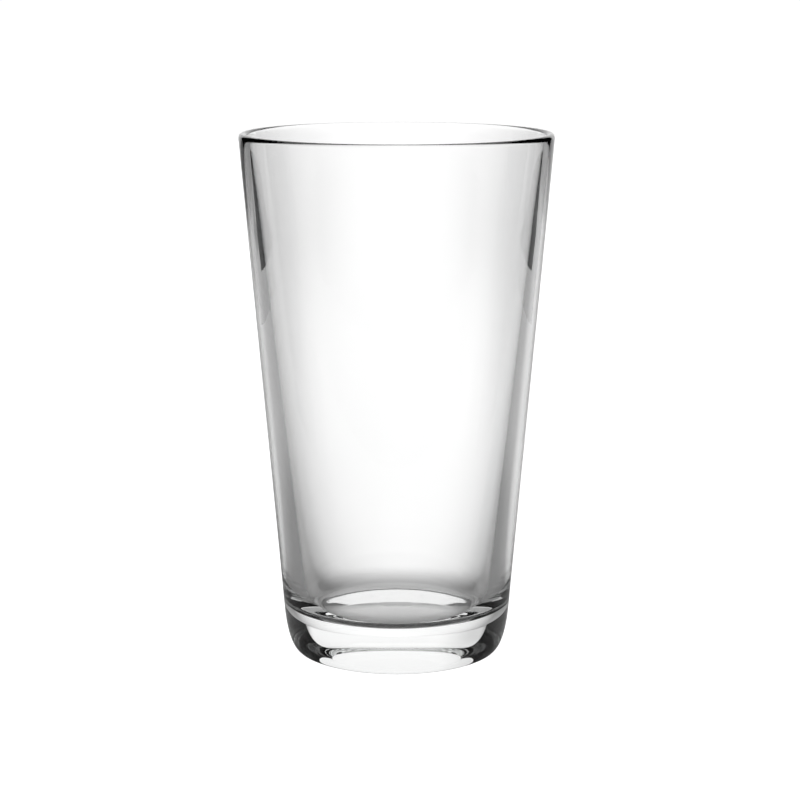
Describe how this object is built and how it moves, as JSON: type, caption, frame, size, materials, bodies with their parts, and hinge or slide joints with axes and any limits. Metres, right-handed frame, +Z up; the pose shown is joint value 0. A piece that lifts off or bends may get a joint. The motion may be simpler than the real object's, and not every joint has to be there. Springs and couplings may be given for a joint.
{
  "type": "mixing glass",
  "caption": "Tapered clear mixing glass: straight wall opening to a rounded lip, thick solid base with a rounded heel, round inside corner and domed hollow underneath.",
  "frame": {"origin": "centre of the standing ring under the base, on the plane the glass stands on", "axes": "+Z up along the glass's axis of symmetry, towards the mouth; X and Y are level and free"},
  "size_m": [0.088, 0.088, 0.148],
  "materials": {
    "clear_glass": "clear pressed soda-lime glass, polished smooth"
  },
  "bodies": {
    "root": {"mixing_glass": "clear_glass"}
  },
  "joints": []
}
